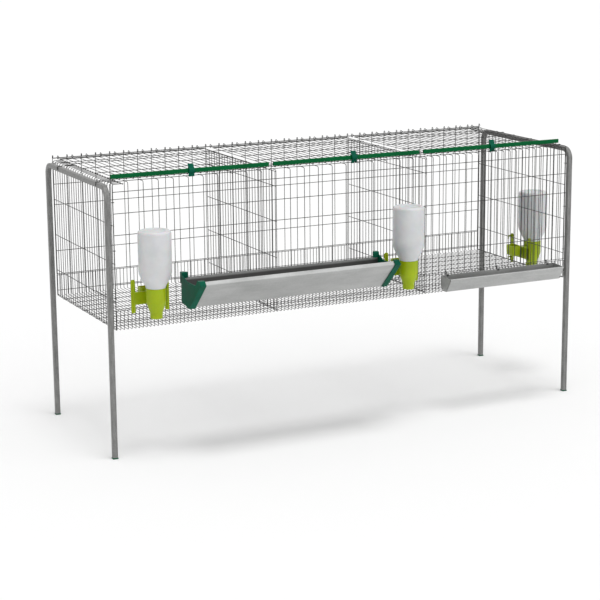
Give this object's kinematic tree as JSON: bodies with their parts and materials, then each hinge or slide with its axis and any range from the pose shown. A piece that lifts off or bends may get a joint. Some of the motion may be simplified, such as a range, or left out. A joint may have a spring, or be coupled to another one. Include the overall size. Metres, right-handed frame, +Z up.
{
  "type": "chicken fattening cage",
  "caption": "Wire fattening cage for chickens on tube legs, with divided compartments, hinged mesh lids, feed troughs and bottle drinkers.",
  "frame": {"origin": "centre of the bounding box at ground level, under the feet", "axes": "+X along the cage to its right end, +Y from front to back, +Z up"},
  "size_m": [1.7878, 0.7278, 0.9078],
  "materials": {
    "wire": "galvanised wire, satin",
    "tube": "galvanised tube, satin grey",
    "sheet": "galvanised sheet, light satin",
    "green_strip": "satin dark green plastic",
    "green_cap": "satin blue-green plastic",
    "lime": "lime plastic, slight gloss",
    "bottle": "milky translucent plastic",
    "foot": "matt dark green plastic"
  },
  "bodies": {
    "cage": {"left_frame": "tube", "right_frame": "tube", "foot_plug_front_left": "foot", "foot_plug_rear_left": "foot", "foot_plug_front_right": "foot", "foot_plug_rear_right": "foot", "front_panel": "wire", "rear_panel": "wire", "left_end_panel": "wire", "right_end_panel": "wire", "left_end_lip": "wire", "right_end_lip": "wire", "divider_1": "wire", "divider_2": "wire", "floor_tray": "wire", "ring_front_left_low": "wire", "ring_front_right_low": "wire", "ring_front_left_middle": "wire", "ring_front_right_middle": "wire", "ring_front_left_high": "wire", "ring_front_right_high": "wire"},
    "lid_1": {"lid_1": "wire", "lid_strip_1": "green_strip"},
    "clip_1": {"lid_clip_1": "green_cap"},
    "lid_2": {"lid_2": "wire", "lid_strip_2": "green_strip"},
    "clip_2": {"lid_clip_2": "green_cap"},
    "lid_3": {"lid_3": "wire", "lid_strip_3": "green_strip"},
    "clip_3": {"lid_clip_3": "green_cap"},
    "trough_long": {"long_trough": "sheet", "trough_cap_left": "green_cap", "trough_cap_right": "green_cap"},
    "trough_small": {"small_trough": "sheet"},
    "drinker_left": {"holder_left": "lime"},
    "bottle_left": {"bottle_left": "bottle"},
    "drinker_middle": {"holder_middle": "lime"},
    "bottle_middle": {"bottle_middle": "bottle"},
    "drinker_right": {"holder_right": "lime"},
    "bottle_right": {"bottle_right": "bottle"}
  },
  "joints": [
    {"name": "lid_1_hinge", "type": "hinge", "parent": "cage", "child": "lid_1", "pos_m": [-0.5901, 0.35869, 0.87707], "axis": [-1, 0, 0], "range_deg": [0, 110]},
    {"name": "clip_1_turn", "type": "hinge", "parent": "lid_1", "child": "clip_1", "pos_m": [-0.5901, -0.16681, 0.8868], "axis": [-1, 0, 0], "range_deg": [0, 60]},
    {"name": "lid_2_hinge", "type": "hinge", "parent": "cage", "child": "lid_2", "pos_m": [-0.0401, 0.35869, 0.87707], "axis": [-1, 0, 0], "range_deg": [0, 110]},
    {"name": "clip_2_turn", "type": "hinge", "parent": "lid_2", "child": "clip_2", "pos_m": [-0.0176, -0.16681, 0.8868], "axis": [-1, 0, 0], "range_deg": [0, 60]},
    {"name": "lid_3_hinge", "type": "hinge", "parent": "cage", "child": "lid_3", "pos_m": [0.5099, 0.35869, 0.87707], "axis": [-1, 0, 0], "range_deg": [0, 110]},
    {"name": "clip_3_turn", "type": "hinge", "parent": "lid_3", "child": "clip_3", "pos_m": [0.5099, -0.16681, 0.8868], "axis": [-1, 0, 0], "range_deg": [0, 60]},
    {"name": "trough_long_lift", "type": "slide", "parent": "cage", "child": "trough_long", "axis": [0, 0, 1], "range_m": [0, 0.03]},
    {"name": "trough_small_lift", "type": "slide", "parent": "cage", "child": "trough_small", "axis": [0, 0, 1], "range_m": [0, 0.02]},
    {"name": "holder_left_lift", "type": "slide", "parent": "cage", "child": "drinker_left", "axis": [0, 0, 1], "range_m": [0, 0.015]},
    {"name": "bottle_left_lift", "type": "slide", "parent": "drinker_left", "child": "bottle_left", "axis": [0, 0, 1], "range_m": [0, 0.05]},
    {"name": "holder_middle_lift", "type": "slide", "parent": "cage", "child": "drinker_middle", "axis": [0, 0, 1], "range_m": [0, 0.015]},
    {"name": "bottle_middle_lift", "type": "slide", "parent": "drinker_middle", "child": "bottle_middle", "axis": [0, 0, 1], "range_m": [0, 0.05]},
    {"name": "holder_right_lift", "type": "slide", "parent": "cage", "child": "drinker_right", "axis": [0, 0, 1], "range_m": [0, 0.015]},
    {"name": "bottle_right_lift", "type": "slide", "parent": "drinker_right", "child": "bottle_right", "axis": [0, 0, 1], "range_m": [0, 0.05]}
  ]
}
